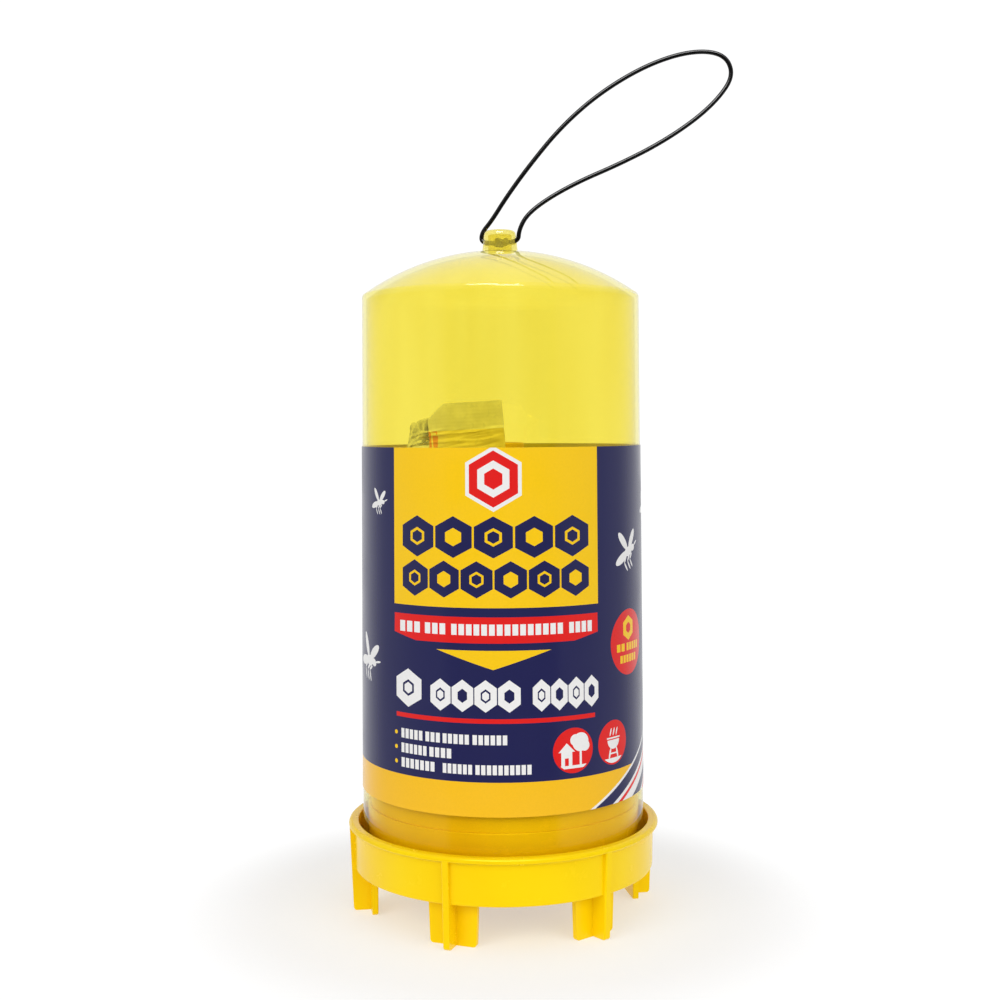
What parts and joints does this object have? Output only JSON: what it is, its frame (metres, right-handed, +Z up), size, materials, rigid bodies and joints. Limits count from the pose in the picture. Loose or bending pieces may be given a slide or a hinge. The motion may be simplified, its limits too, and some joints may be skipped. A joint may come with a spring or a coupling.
{
  "type": "hanging wasp trap",
  "caption": "Tall clear hanging wasp trap: footed base with a central entry cone, lift-off domed vessel, wrap label, bait sachets and a cord loop.",
  "frame": {"origin": "centre of the circle of feet, on the surface they stand on", "axes": "+Z up along the trap's own axis, -Y is the front of the label, +X is to the right seen from the front"},
  "size_m": [0.1373, 0.1104, 0.302],
  "materials": {
    "base_plastic": "moulded satin gloss",
    "cone_plastic": "moulded satin gloss",
    "clear_dome": "translucent yellow, polished",
    "label_film": "printed film, satin",
    "cord_sleeve": "glossy sleeve",
    "sachet_foil": "crinkled laminated foil"
  },
  "bodies": {
    "tray": {"base": "base_plastic", "entry_cone": "cone_plastic", "bait_sachet_front": "sachet_foil", "bait_sachet_rear": "sachet_foil"},
    "vessel": {"dome": "clear_dome", "label": "label_film"},
    "loop": {"hanging_cord": "cord_sleeve", "cord_knot": "cord_sleeve"}
  },
  "joints": [
    {"name": "dome_lift", "type": "slide", "parent": "tray", "child": "vessel", "axis": [0, 0, 1], "range_m": [0, 0.18]},
    {"name": "loop_swing", "type": "hinge", "parent": "vessel", "child": "loop", "pos_m": [0, 0, 0.2353], "axis": [0.9397, -0.342, 0], "range_deg": [-70, 70]}
  ]
}
